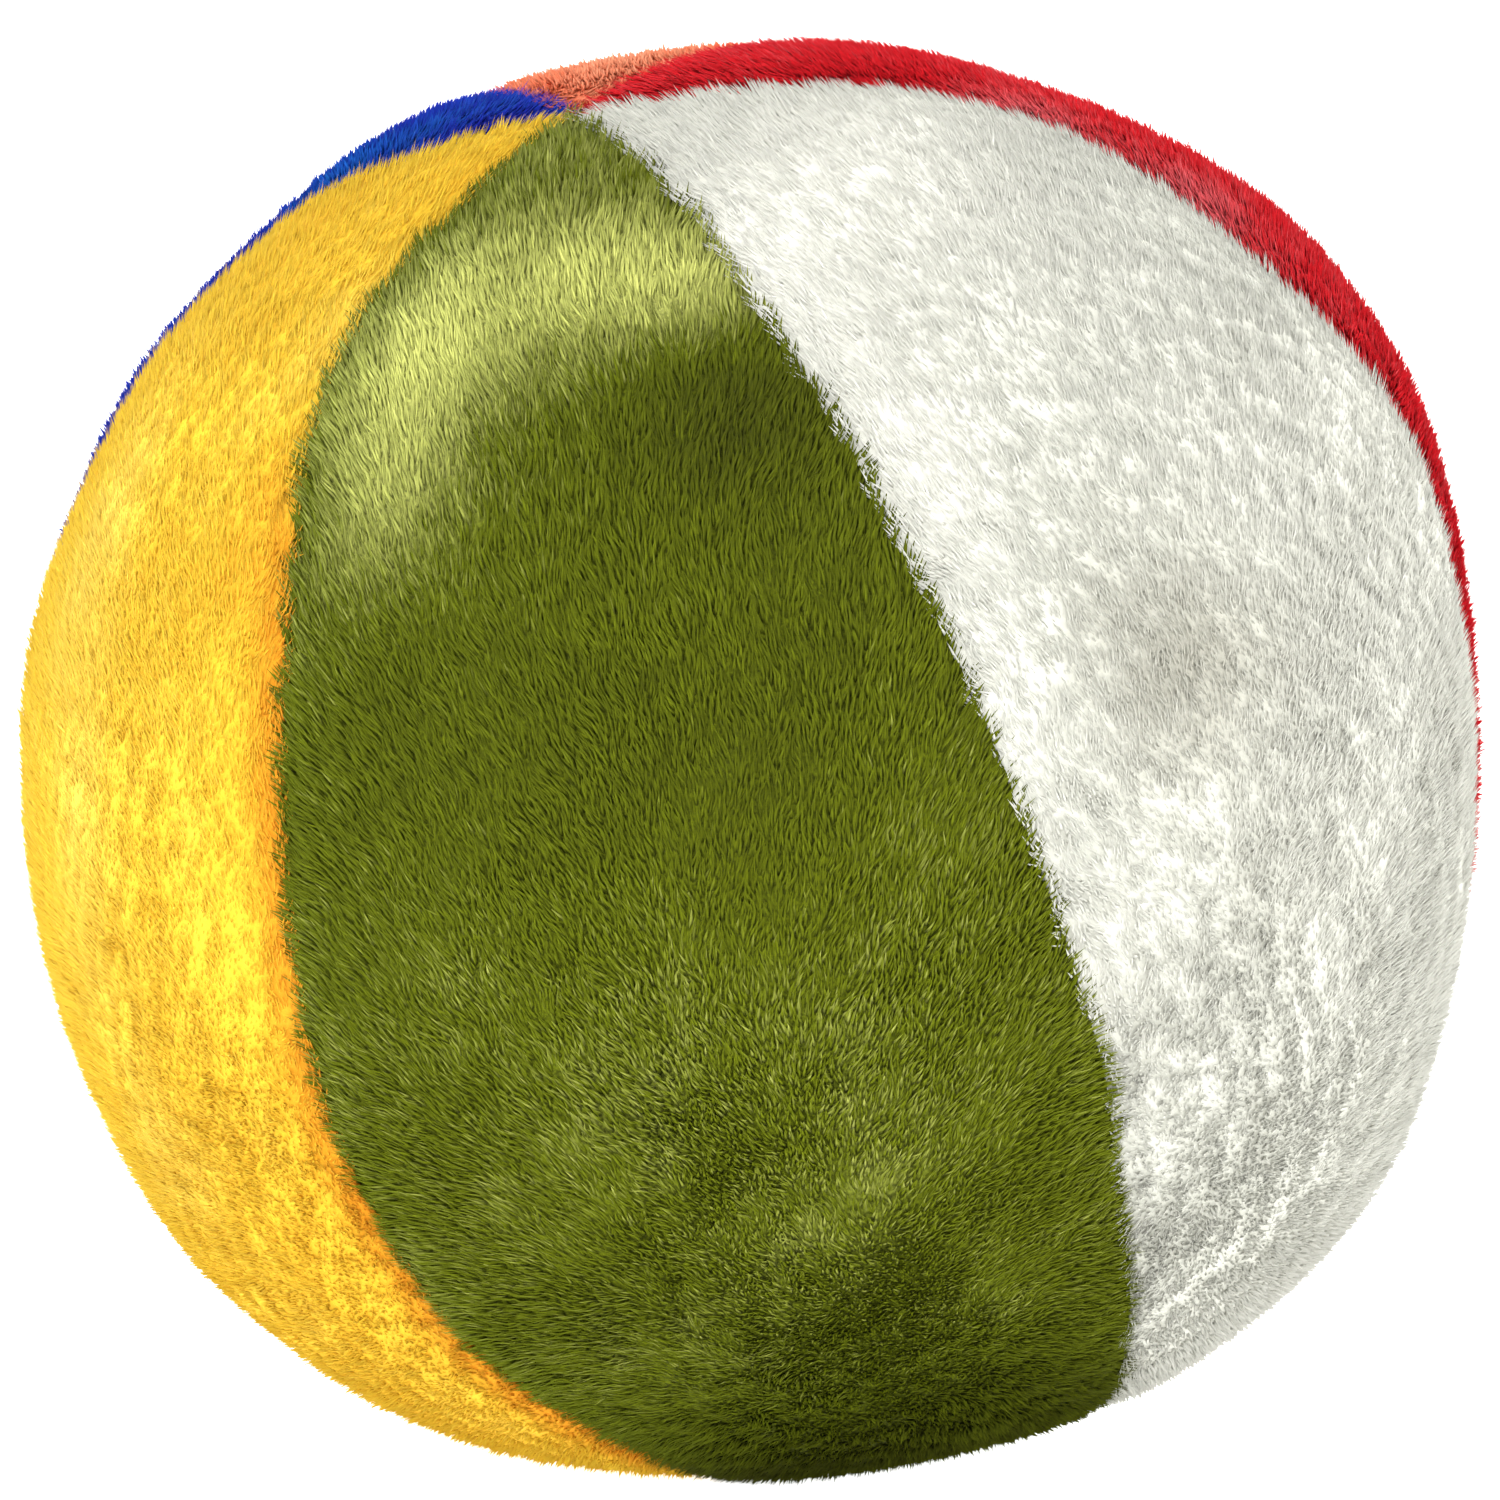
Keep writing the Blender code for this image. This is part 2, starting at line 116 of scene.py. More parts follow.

# Beside the zip the pile lies low and turned away, so that the slider can run. It is all so as far as the
# first distance past the panel's edge, and not at all past the second.
ZIP_CLEARED = (1 * MM, 11 * MM)
ZIP_SINK = 1.3 * MM  # how far the undercoat is pressed in
ZIP_THINNED = 0.6  # the share that the backing loses of its thickness
ZIP_FAN_BACK = 1.7  # times the fan, taken off it
ZIP_CLUMP_LOSS = 0.7  # the share that the locks' drift loses
ZIP_LEAN_DEG = 12  # how much lower tufts lean
ZIP_SHORTENED = 0.35  # the share that a tuft loses of its length


def unit(vectors):
    return vectors / np.linalg.norm(vectors, axis=-1, keepdims=True)


def ball_axes():
    """Three unit vectors: towards longitude 0, towards longitude 90, and along the pole line."""
    lean, heading = radians(LEAN_DEG), radians(LEAN_HEADING_DEG)
    out = np.array((cos(lean) * cos(heading), cos(lean) * sin(heading), -sin(lean)))
    side = np.array((-sin(heading), cos(heading), 0.0))
    return out, side, np.cross(out, side)


AXIS_X, AXIS_Y, AXIS_Z = ball_axes()


def direction(lon, lat):
    """Unit vectors from the middle for arrays of longitude and latitude in radians."""
    lon, lat = lon[..., None], lat[..., None]
    return np.cos(lat) * (np.cos(lon) * AXIS_X + np.sin(lon) * AXIS_Y) + np.sin(lat) * AXIS_Z


def swelling(way):
    """The sum of the swellings: each is its height times exp(-(angle / width) squared)."""
    total = np.zeros(way.shape[:-1])
    for centre, height, width_deg in SWELLINGS:
        angle = np.arccos(np.clip(way @ unit(np.array(centre)), -1, 1))
        total += height * np.exp(-((angle / radians(width_deg)) ** 2))
    return total


def settled(points):
    """Height z becomes (z + sqrt(z^2 + s^2)) / 2, so that what would be under the floor lies on it."""
    out = points.copy()
    out[..., 2] = 0.5 * (points[..., 2] + np.sqrt(points[..., 2] ** 2 + SETTLE**2))
    return out


def smooth_step(value, low, high):
    t = np.clip((value - low) / (high - low), 0, 1)
    return t * t * (3 - 2 * t)


def wave_noise(way, rng, size):
    """A soft random height from -1 to 1, with lumps of about the given size all over the ball.

    It is the mean of nine plane waves in random directions, times 2.2 and kept within -1 and 1.
    """
    count = 9
    waves = 2 * pi * PILE_R / size
    total = np.zeros(way.shape[:-1])
    for _ in range(count):
        axis = unit(rng.normal(size=3))
        total += np.sin(way @ axis * waves * rng.uniform(0.7, 1.3) + rng.uniform(0, 2 * pi))
    return np.clip(total / count * 2.2, -1, 1)


# ------------------------------------------------------------------ meshes and nodes

def add_object(name, points, faces):
    """A mesh object at the origin from an array of points and an array of faces, all of one size."""
    mesh = bpy.data.meshes.new(name)
    sides = faces.shape[1]
    mesh.vertices.add(len(points))
    mesh.vertices.foreach_set("co", np.ascontiguousarray(points, np.float32).ravel())
    mesh.loops.add(faces.size)
    mesh.loops.foreach_set("vertex_index", np.ascontiguousarray(faces, np.int32).ravel())
    mesh.polygons.add(len(faces))
    mesh.polygons.foreach_set("loop_start", np.arange(0, faces.size, sides, dtype=np.int32))
    mesh.update(calc_edges=True)
    mesh.polygons.foreach_set("use_smooth", np.full(len(faces), True))
    obj = bpy.data.objects.new(name, mesh)
    bpy.context.scene.collection.objects.link(obj)
    return obj


def set_attribute(obj, name, values):
    """A number on each point, for the material to read."""
    layer = obj.data.attributes.new(name, "FLOAT", "POINT")
    layer.data.foreach_set("value", np.ascontiguousarray(values, np.float32).ravel())


def grid_faces(rows, columns, closed=False):
    """Quads over a grid of points counted row by row. A closed grid joins its last column to its first."""
    row = np.arange(rows - 1)[:, None] * columns
    column = np.arange(columns if closed else columns - 1)[None, :]
    after = (column + 1) % columns
    low, high = row + column, row + columns + column
    faces = np.stack((low, row + after, row + columns + after, high), -1)
    return faces.reshape(-1, 4)


def shell(name, outer, inner):
    """A closed sheet with thickness: an outer grid, an inner one turned over, and strips round the rim."""
    rows, columns = outer.shape[:2]
    count = rows * columns
    face = grid_faces(rows, columns)
    ids = np.arange(count).reshape(rows, columns)
    rim = np.concatenate((ids[0, :-1], ids[:-1, -1], ids[-1, :0:-1], ids[:0:-1, 0]))
    after = np.roll(rim, -1)
    edge = np.stack((after, rim, rim + count, after + count), -1)
    points = np.concatenate((outer.reshape(-1, 3), inner.reshape(-1, 3)))
    return add_object(name, points, np.concatenate((face, face[:, ::-1] + count, edge)))


MULTIPLY = (("data_type", "RGBA"), ("blend_type", "MULTIPLY"))


def linear(hex_colour):
    """The linear colour, with alpha, of an sRGB hex value."""
    channels = [int(hex_colour[i : i + 2], 16) / 255 for i in (0, 2, 4)]
    return [c / 12.92 if c <= 0.04045 else ((c + 0.055) / 1.055) ** 2.4 for c in channels] + [1.0]


def feed(node, **inputs):
    """A node's inputs by name, or by number as in _0. A socket is linked to, anything else is a value."""
    for key, value in inputs.items():
        socket = node.inputs[int(key[1:])] if key[0] == "_" else node.inputs[key.replace("_", " ")]
        if isinstance(value, bpy.types.NodeSocket):
            node.id_data.links.new(value, socket)
        else:
            socket.default_value = value


def add_node(tree, kind, output=0, stops=(), settings=(), **inputs):
    """An output socket of a new node, by name or number, after its settings are made and its inputs fed.

    Settings are (name, value) pairs, and a colour ramp's stops are (position, sRGB hex) pairs.
    """
    node = tree.nodes.new(kind)
    for key, value in settings:
        setattr(node, key, value)
    for number, (position, code) in enumerate(stops):
        elements = node.color_ramp.elements
        element = elements[number] if number < len(elements) else elements.new(position)
        element.position = position
        element.color = linear(code)
    feed(node, **inputs)
    return node.outputs[output]


def new_material(name, **shader_values):
    """A material with its Principled shader's own values, its tree, and its shader."""
    made = bpy.data.materials.new(name)
    made.use_nodes = True
    shader = made.node_tree.nodes["Principled BSDF"]
    feed(shader, **shader_values)
    return made, made.node_tree, shader


# ------------------------------------------------------------------ the cover

def seam_lon(number, lat):
    """Longitude of a seam at each latitude: its own, and each pull's exp(-(offset / spread) squared)."""
    deg = np.degrees(lat)
    lon = np.full(lat.shape, FIRST_SEAM_DEG + PANEL_TURN_DEG * number)
    for middle, spread, far in SEAM_PULLS.get(number % len(PANELS), ()):
        lon += far * np.exp(-(((deg - middle) / spread) ** 2))
    return np.radians(lon)


def zip_part(lat):
    """1 along the zip's stretch of its seam, falling softly to 0 past its ends."""
    deg = np.degrees(lat)
    top, bottom = ZIP_LATS
    past, inside = ZIP_FADE_DEG
    above = smooth_step(deg, top - inside, top + past)
    return smooth_step(deg, bottom - past, bottom + inside) * (1 - above)


def edge_margin(seam, lat):
    """How far a panel's edge stands off its seam: a hair, or half the zip's width beside the zip."""
    if seam != ZIP_SEAM:
        return np.full(lat.shape, SEAM_GAP)
    return SEAM_GAP + (ZIP_HALF - SEAM_GAP) * zip_part(lat)


def panel_point(number, across, lat):
    """Longitude of a point across a panel from 0 to 1, and its distances from its two seams."""
    reach = (PILE_R - PILE_H) * np.maximum(np.cos(lat), 1e-3)
    first, second = seam_lon(number, lat), seam_lon(number + 1, lat)
    start = first + edge_margin(number, lat) / reach
    end = second - edge_margin((number + 1) % len(PANELS), lat) / reach
    lon = start + across * np.maximum(end - start, 0)
    return lon, (lon - first) * reach, (second - lon) * reach


def zip_nearness(number, from_left, from_right, lat):
    """1 at the zip, falling to 0 a little way into the panels beside it."""
    if number == ZIP_SEAM:
        near = from_left
    elif number == ZIP_SEAM - 1:
        near = from_right
    else:
        return np.zeros(lat.shape)
    return (1 - smooth_step(near, ZIP_HALF + ZIP_CLEARED[0], ZIP_HALF + ZIP_CLEARED[1])) * zip_part(lat)


def face_radius(way, from_left, from_right, beside_zip):
    """Out to the undercoat: the pile's reach less its height, soft lumps, and a dip along each seam."""
    rng = np.random.default_rng(11)
    lumps = LUMP_H * wave_noise(way, rng, LUMP_SIZE)
    seam = np.minimum(from_left, from_right)
    dip = SEAM_DIP * np.exp(-((seam / SEAM_REACH) ** 2))
    base = PILE_R + swelling(way) - PILE_H
    return base + (lumps - dip) * (1 - beside_zip) - ZIP_SINK * beside_zip


def make_backing(number, finish):
    """A panel's knitted backing: lines of latitude by lines across, as one thin closed sheet."""
    rows, columns = 121, 41
    lat = np.linspace(-radians(POLE_LAT), radians(POLE_LAT), rows)[:, None] + np.zeros((1, columns))
    across = np.linspace(0, 1, columns)[None, :] + np.zeros((rows, 1))
    lon, from_left, from_right = panel_point(number, across, lat)
    way = direction(lon, lat)
    beside_zip = zip_nearness(number, from_left, from_right, lat)
    radius = face_radius(way, from_left, from_right, beside_zip)
    fuller = THICKER.get(PANELS[number], 0.0)
    radius = radius + fuller
    thick = BACKING_T * (1 - ZIP_THINNED * beside_zip) + fuller
    outer = settled(MIDDLE + radius[..., None] * way)
    inner = settled(MIDDLE + (radius - thick)[..., None] * way)
    obj = shell(f"backing_{PANELS[number]}", outer, inner)
    # The random nap tone with painted highlights and shade, for the backing's colour.
    nap_and_painted_light = nap_and_painted_light_at(number, lon, lat, way, from_left, from_right)
    set_attribute(obj, "nap_and_painted_light", np.tile(nap_and_painted_light.ravel(), 2))
    obj.data.materials.append(finish)
    return obj


def make_pile(number, finish):
    """A panel's pile in two pieces, the half below the middle and the half above it.

    Roots are spread evenly: the i-th of n has its height at (i + 0.5) / n of the ball's and its place
    across at i times the golden ratio, less its whole part, each give or take a little. Each tuft is a
    closed spike of four points, three round its foot and a tip. It leans towards the upper pole. How far
    it leans, and to which side, follow soft noise, so neighbours lie together.
    """
    golden = 0.61803398875
    off_the_poles = 0.99995
    rng = np.random.default_rng(100 + number)
    area = 4 * pi * PILE_R**2 / len(PANELS)
    count = int(area / TUFT_SPACING**2)
    order = np.arange(count)
    height = (2 * (order + rng.uniform(0.1, 0.9, count)) / count - 1) * off_the_poles
    across = (order * golden + rng.uniform(-0.5, 0.5, count) * 0.006) % 1.0
    lat = np.arcsin(height)
    lon, from_left, from_right = panel_point(number, across, lat)
    way = direction(lon, lat)
    beside_zip = zip_nearness(number, from_left, from_right, lat)
    radius = face_radius(way, from_left, from_right, beside_zip) - ROOT_DEPTH
    root = MIDDLE + radius[:, None] * way

    north = unit(AXIS_Z - (way @ AXIS_Z)[:, None] * way)
    east = np.cross(north, way)
    field = np.random.default_rng(5)
    drift = {name: radians(far) * wave_noise(way, field, size) for name, (size, far) in DRIFTS.items()}
    fan = radians(FAN_DEG) * (2 * across - 1) * (1 - ZIP_FAN_BACK * beside_zip)
    by_seam = np.exp(-((np.minimum(from_left, from_right) / SEAM_REACH) ** 2)) * (1 - beside_zip)
    side = fan + drift["sway"] + radians(SIDE_SPREAD_DEG) * rng.normal(size=count)
    side += drift["clump"] * (1 - ZIP_CLUMP_LOSS * beside_zip) + drift["ragged"] * by_seam
    lean = radians(TUFT_LEAN_DEG) + drift["lift"] + drift["ruffle"]
    lean += radians(LEAN_SPREAD_DEG) * rng.normal(size=count) + radians(ZIP_LEAN_DEG) * beside_zip
    lean = np.clip(lean, *np.radians(LEAN_RANGE_DEG))
    along = np.cos(side)[:, None] * north + np.sin(side)[:, None] * east
    uneven = (1 + LENGTH_SPREAD * rng.normal(size=count)).clip(0.7, 1.25)
    length = TUFT_LENGTH * uneven * (1 - ZIP_SHORTENED * beside_zip)
    half = 0.5 * TUFT_WIDTH * rng.uniform(0.8, 1.25, count)

    axis = np.cos(lean)[:, None] * way + np.sin(lean)[:, None] * along
    tip = root + length[:, None] * axis
    wide = unit(np.cross(axis, way))
    thick = np.cross(wide, axis)
    corners = ((1, -0.2), (0, 0.4), (-1, -0.2))
    foot = [root + half[:, None] * (a * wide + b * thick) for a, b in corners]
    points = settled(np.stack((*foot, tip), axis=1))

    spike = np.array(((0, 1, 2), (2, 1, 3), (1, 0, 3), (0, 2, 3)))
    up_the_tuft = np.array((0.0, 0.0, 0.0, 1.0))
    tone = rng.uniform(0, 1, count)
    # The random nap tone with painted highlights and shade, for each tuft's colour.
    nap_and_painted_light = nap_and_painted_light_at(number, lon, lat, way, from_left, from_right)
    nap_and_painted_light = nap_and_painted_light + TONE_SPREAD * rng.normal(size=count)
    pieces = []
    for half_name, chosen in (("lower", lat < 0), ("upper", lat >= 0)):
        total = int(chosen.sum())
        faces = (spike[None] + 4 * np.arange(total)[:, None, None]).reshape(-1, 3)
        obj = add_object(f"pile_{PANELS[number]}_{half_name}", points[chosen].reshape(-1, 3), faces)
        set_attribute(obj, "up_the_tuft", np.tile(up_the_tuft, total))
        set_attribute(obj, "tone", np.repeat(tone[chosen], 4))
        set_attribute(obj, "nap_and_painted_light", np.repeat(nap_and_painted_light[chosen], 4))
        obj.data.materials.append(finish)
        pieces.append(obj)
    return pieces


# Pile colours: deep, for painted shade and the darker random nap tone; its own colour; and pale, for
# painted highlights and the paler random nap tone.
PILE_COLOURS = {
    "green": ("3A3E06", "626C0B", "E2E680"),
    "white": ("9F9D91", "C0C0B7", "DDDCD4"),
    "red": ("B40A16", "D81E28", "F28086"),
    "orange": ("DC4A1C", "EC6C40", "F8B08C"),
    "blue": ("1C128C", "1C2EAE", "1E78CC"),
    "yellow": ("D68A20", "D9B432", "E0C45C"),
}
# Painted shade: how the colour is darkened low on a tuft, and in the undercoat's hollows.
FOOT_SHADE = {"white": "E8E8E6", "yellow": "F4E6D6", "orange": "DCC8C0"}
DARK_PAINTED_FOOT_SHADE = "989898"  # painted shade on the panels not named there
# Painted shade in the undercoat's hollows, on the panels not named in FOOT_SHADE.
DARK_PAINTED_HOLLOW_SHADE = "787878"
# How soft noise brushes it all: the size of its lumps, and how pale or deep.
BRUSHED_NOISE = ((55 * MM, 0.035), (17 * MM, 0.025))
# Painted highlights and painted light on the tops (+), and painted shade and shadow (-), set on the pile
# as marks: longitude, latitude, their spreads in degrees, and how pale (+) or deep (-).
PAINTED_LIGHT_AND_NAP_MARKS = {
    "green": (
        (6, 62, 12, 9, 0.9), (30, 66, 16, 6, 0.8), (48, 63, 10, 6, 0.6), (4, 50, 9, 8, 0.4),
        (45, 50, 14, 7, -0.6), (28, 82, 40, 6, 0.1), (30, 30, 30, 13, -0.3), (27, -50, 60, 15, -1.0),
    ),
    "white": (
        (73, 20, 9, 8, -0.8), (66, 30, 6, 8, -0.2), (62, 45, 6, 20, 0.4), (90, 66, 40, 16, 0.6),
        (90, -52, 50, 18, 0.6),
    ),
    "red": ((128, 54, 9, 6, 0.5), (122, 40, 7, 6, 0.5), (126, 68, 12, 8, -0.3)),
    "orange": ((195, 78, 40, 12, 0.8),),
    "blue": ((-85, 68, 9, 8, 0.5), (-90, 80, 20, 6, 0.3), (-72, 83, 20, 5, -0.5)),
    "yellow": (
        (-41, 38, 8, 12, 0.5), (-30, 20, 7, 14, 0.4), (-24, -5, 6, 10, 0.3), (-16, 62, 6, 8, 0.3),
        (-14, 48, 5, 8, -0.3),
    ),
}
# A strip along a panel's edge, paler on the white, and painted shade of the seam's crease on the yellow:
# its first (0) or second (1) seam, how wide, the latitudes, and how pale.
EDGE_FADE_DEG = 8
EDGE_STRIPS_AND_PAINTED_SHADE = {
    "white": (0, 17 * MM, (-10, 62), 0.2),
    "yellow": (1, 9 * MM, (-45, 46), -0.9),
}


def nap_and_painted_light_at(number, lon, lat, way, from_left, from_right):
    """The pile's random nap tone with its painted highlights and shade, 0 deep to 1 pale: a half, soft
    noise, and each mark's bell.
    """
    colour = PANELS[number]
    rng = np.random.default_rng(23)
    value = np.full(lat.shape, 0.5)
    for size, far in BRUSHED_NOISE:
        value += far * wave_noise(way, rng, size)
    deg = np.degrees(lat)
    for at_lon, at_lat, lon_spread, lat_spread, amount in PAINTED_LIGHT_AND_NAP_MARKS[colour]:
        off_lon = (np.degrees(lon) - at_lon + 180) % 360 - 180
        value += 0.5 * amount * np.exp(-((off_lon / lon_spread) ** 2) - ((deg - at_lat) / lat_spread) ** 2)
    if colour in EDGE_STRIPS_AND_PAINTED_SHADE:
        side, wide, (low, high), amount = EDGE_STRIPS_AND_PAINTED_SHADE[colour]
        strip = np.exp(-(((from_left, from_right)[side] / wide) ** 2))
        starts = smooth_step(deg, low - EDGE_FADE_DEG, low + EDGE_FADE_DEG)
        ends = smooth_step(deg, high - EDGE_FADE_DEG, high + EDGE_FADE_DEG)
        strip *= starts * (1 - ends)
        value += 0.5 * amount * strip
    return np.clip(value, 0, 1)


def dye_and_painted_light(tree, colour):
    """The panel's own colour, from deep to pale along its random nap tone with painted highlights and
    shade.
    """
    nap_and_painted_light = add_node(tree, "ShaderNodeAttribute", "Fac", settings=[("attribute_name", "nap_and_painted_light")])
    stops = zip((0.0, 0.5, 1.0), PILE_COLOURS[colour])
    return add_node(tree, "ShaderNodeValToRGB", "Color", stops, Fac=nap_and_painted_light)


def pile_material(colour):
    """Brushed acrylic pile: matt fibres, with painted shade low on each tuft so it is paler at the tips,
    over a colour with painted highlights and shade.
    """
    made, tree, shader = new_material(f"acrylic_pile_{colour}", Roughness=0.85, Specular_IOR_Level=0.08)
    up = add_node(tree, "ShaderNodeAttribute", "Fac", settings=[("attribute_name", "up_the_tuft")])
    tone = add_node(tree, "ShaderNodeAttribute", "Fac", settings=[("attribute_name", "tone")])
    foot = FOOT_SHADE.get(colour, DARK_PAINTED_FOOT_SHADE)
    # Painted shade low on each tuft, gone three quarters of the way up.
    painted_root_shade = add_node(tree, "ShaderNodeValToRGB", "Color", ((0.0, foot), (0.75, "FFFFFF")), Fac=up)
    uneven = "F0F0F0" if colour in ("white", "yellow") else "DCDCDC"
    shade = add_node(tree, "ShaderNodeValToRGB", "Color", ((0.0, uneven), (1.0, "FFFFFF")), Fac=tone)
    toned = add_node(tree, "ShaderNodeMix", 2, (), MULTIPLY, _0=1.0, _6=dye_and_painted_light(tree, colour), _7=painted_root_shade)
    toned = add_node(tree, "ShaderNodeMix", 2, (), MULTIPLY, _0=1.0, _6=toned, _7=shade)
    feed(shader, Base_Color=toned)
    return made


def backing_material(colour):
    """Polyester knit under a dense undercoat, coloured as the pile with its painted highlights and shade:
    fibrous, with painted shade in its hollows.
    """
    made, tree, shader = new_material(f"polyester_knit_{colour}", Roughness=0.95, Specular_IOR_Level=0.1)
    on_piece = add_node(tree, "ShaderNodeTexCoord", "Object")
    fibres = add_node(tree, "ShaderNodeTexNoise", "Fac", Vector=on_piece, Scale=1 / (1.2 * MM))
    # Painted shade where the fibre noise dips, in the undercoat's hollows.
    stops = ((0.3, FOOT_SHADE.get(colour, DARK_PAINTED_HOLLOW_SHADE)), (0.7, "E8E8E8"))
    hollows = add_node(tree, "ShaderNodeValToRGB", "Color", stops, Fac=fibres)
    toned = add_node(tree, "ShaderNodeMix", 2, (), MULTIPLY, _0=1.0, _6=dye_and_painted_light(tree, colour), _7=hollows)
    bump = add_node(tree, "ShaderNodeBump", "Normal", Height=fibres, Distance=0.4 * MM)
    feed(shader, Base_Color=toned, Normal=bump)
    return made


def make_cover():
    """Six backings, each standing for its CAD panel, with their pile."""
    for number, colour in enumerate(PANELS):
        backing = make_backing(number, backing_material(colour))
        pile = make_pile(number, pile_material(colour))
        for piece in (backing, *pile):
            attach(piece, "ball")
        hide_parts(f"panel_{colour}")


# ------------------------------------------------------------------ the zip

CHAIN_LATS = (12.3, -55.3)  # from the first tooth to the last
CHAIN_R = 192.1 * MM  # the middle of a tooth
TOOTH_PITCH = 2.1 * MM
TAPE_LATS = (15.0, -61.0)
TAPE_R = (190.1 * MM, 190.7 * MM)
TAPE_HALF = (0.65 * MM, 12.0 * MM)
STITCH_PITCH = 2.6 * MM
STITCH_OFF = 4.1 * MM  # from the seam line
ZIP_AXIS = np.array(JOINTS["zip_open"]["axis"])
ZIP_OUT = direction(np.radians(FIRST_SEAM_DEG + PANEL_TURN_DEG * ZIP_SEAM), np.array(0.0))


def zip_point(radius, off, lat):
    """Points at a distance from the ball's middle, off the seam to one side, at a latitude along it."""
    radius, off, lat = (np.asarray(v, float)[..., None] for v in (radius, off, lat))
    return MIDDLE + radius * (np.cos(lat) * ZIP_OUT + np.sin(lat) * AXIS_Z) + off * ZIP_AXIS


def bead_faces(rings, around):
    """Triangles of a bead: a point, rings of points, and a point at the other end."""
    turn = np.arange(around)
    after = (turn + 1) % around
    start = np.stack((np.zeros(around, int), 1 + after, 1 + turn), -1)
    last = 1 + rings * around
    end = np.stack((np.full(around, last), last - around + turn, last - around + after), -1)
    sides = []
    for ring in range(rings - 1):
        low, high = 1 + ring * around, 1 + (ring + 1) * around
        sides.append(np.stack((low + turn, low + after, high + after), -1))
        sides.append(np.stack((low + turn, high + after, high + turn), -1))
    return np.concatenate((start, *sides, end))


def beads(name, start, end, section, lift, widen, around):
    """Many closed beads. Each runs from its start to its end, through rings at shares of the way.

    A ring's points are its centre plus cos(turn) times its half-width along widen and sin(turn) times
    its half-height along lift. section lists (share of the way, half-width, half-height).
    """
    count = len(start)
    turn = np.linspace(0, 2 * pi, around, endpoint=False)[None, :, None]
    rows = [start[:, None]]
    for share, half_width, half_height in section:
        centre = (start + share * (end - start))[:, None]
        ring = half_width * np.cos(turn) * widen[:, None] + half_height * np.sin(turn) * lift[:, None]
        rows.append(centre + ring)
    rows.append(end[:, None])
    points = np.concatenate(rows, axis=1)
    faces = bead_faces(len(section), around)
    per_bead = points.shape[1]
    every = (faces[None] + per_bead * np.arange(count)[:, None, None]).reshape(-1, 3)
    centred = points[0] - points[0].mean(0)
    first, second, third = (centred[faces[:, corner]] for corner in range(3))
    if (first * np.cross(second, third)).sum() < 0:  # the volume, so the faces are turned outwards
        every = every[:, ::-1]
    return add_object(name, points.reshape(-1, 3), every)


def seam_lats(lats, pitch, radius, phase):
    """Latitudes a pitch apart down the seam, inside the given stretch."""
    high, low = (radians(d) for d in lats)
    count = int((high - low) * radius / pitch - phase)
    return high - (np.arange(count) + 0.5 + phase) * pitch / radius


def along_seam(lat):
    """Unit vectors up the seam, and straight out from the ball, at each latitude."""
    out = np.cos(lat)[:, None] * ZIP_OUT + np.sin(lat)[:, None] * AXIS_Z
    up = -np.sin(lat)[:, None] * ZIP_OUT + np.cos(lat)[:, None] * AXIS_Z
    return up, out


def make_teeth(side, colour, finish):
    """Turns of a moulded coil: each a rounded bar across the tape, swelling into a head at the seam."""
    lat = seam_lats(CHAIN_LATS, TOOTH_PITCH, CHAIN_R, 0.0 if side < 0 else 0.5)
    up, out = along_seam(lat)
    section = [
        (0.03, 0.30 * MM, 0.45 * MM), (0.15, 0.44 * MM, 0.85 * MM), (0.45, 0.42 * MM, 0.95 * MM),
        (0.72, 0.40 * MM, 1.00 * MM), (0.86, 0.50 * MM, 1.05 * MM), (0.97, 0.34 * MM, 0.70 * MM),
    ]
    start = zip_point(CHAIN_R, side * 3.25 * MM, lat)
    end = zip_point(CHAIN_R, side * -0.35 * MM, lat)
    obj = beads(f"zip_coil_{colour}_side", start, end, section, out, up, 10)
    obj.data.materials.append(finish)
    return obj


def make_stitches(finish):
    """A row of lockstitches down each tape, holding the coil: short fat beads of thread."""
    lat = seam_lats(CHAIN_LATS, STITCH_PITCH, TAPE_R[1], 0.0)
    half = 0.38 * STITCH_PITCH / TAPE_R[1]
    section = [(0.08, 0.16 * MM, 0.14 * MM), (0.5, 0.22 * MM, 0.24 * MM), (0.92, 0.16 * MM, 0.14 * MM)]
    both = np.concatenate((lat, lat))
    side = np.repeat((-1.0, 1.0), len(lat))
    _, out = along_seam(both)
    start = zip_point(TAPE_R[1] + 0.12 * MM, side * STITCH_OFF, both + half)
    end = zip_point(TAPE_R[1] + 0.12 * MM, side * STITCH_OFF, both - half)
    widen = np.tile(ZIP_AXIS, (len(both), 1))
    obj = beads("zip_stitching", start, end, section, out, widen, 6)
    obj.data.materials.append(finish)
    return obj


def make_tape(side, colour, finish):
    """A woven tape: a strip along the seam, its outer edge rippling a little."""
    rows, columns = 141, 13
    lat = np.radians(np.linspace(*TAPE_LATS, rows))[:, None] + np.zeros((1, columns))
    off = np.linspace(*TAPE_HALF, columns)[None, :] + np.zeros((rows, 1))
    ripple = 0.12 * MM * np.sin(lat * TAPE_R[1] / (9 * MM) * 2 * pi) * smooth_step(off, 7 * MM, 12 * MM)
    if side > 0:
        lat, off, ripple = lat[::-1], off[::-1], ripple[::-1]
    outer = zip_point(TAPE_R[1] + ripple, side * off, lat)
    inner = zip_point(TAPE_R[0] + ripple, side * off, lat)
    obj = shell(f"zip_tape_{colour}_weave", outer, inner)
    set_attribute(obj, "down_the_tape", np.tile((lat * TAPE_R[1]).ravel(), 2))
    set_attribute(obj, "over_the_tape", np.tile(off.ravel(), 2))
    obj.data.materials.append(finish)
    return obj


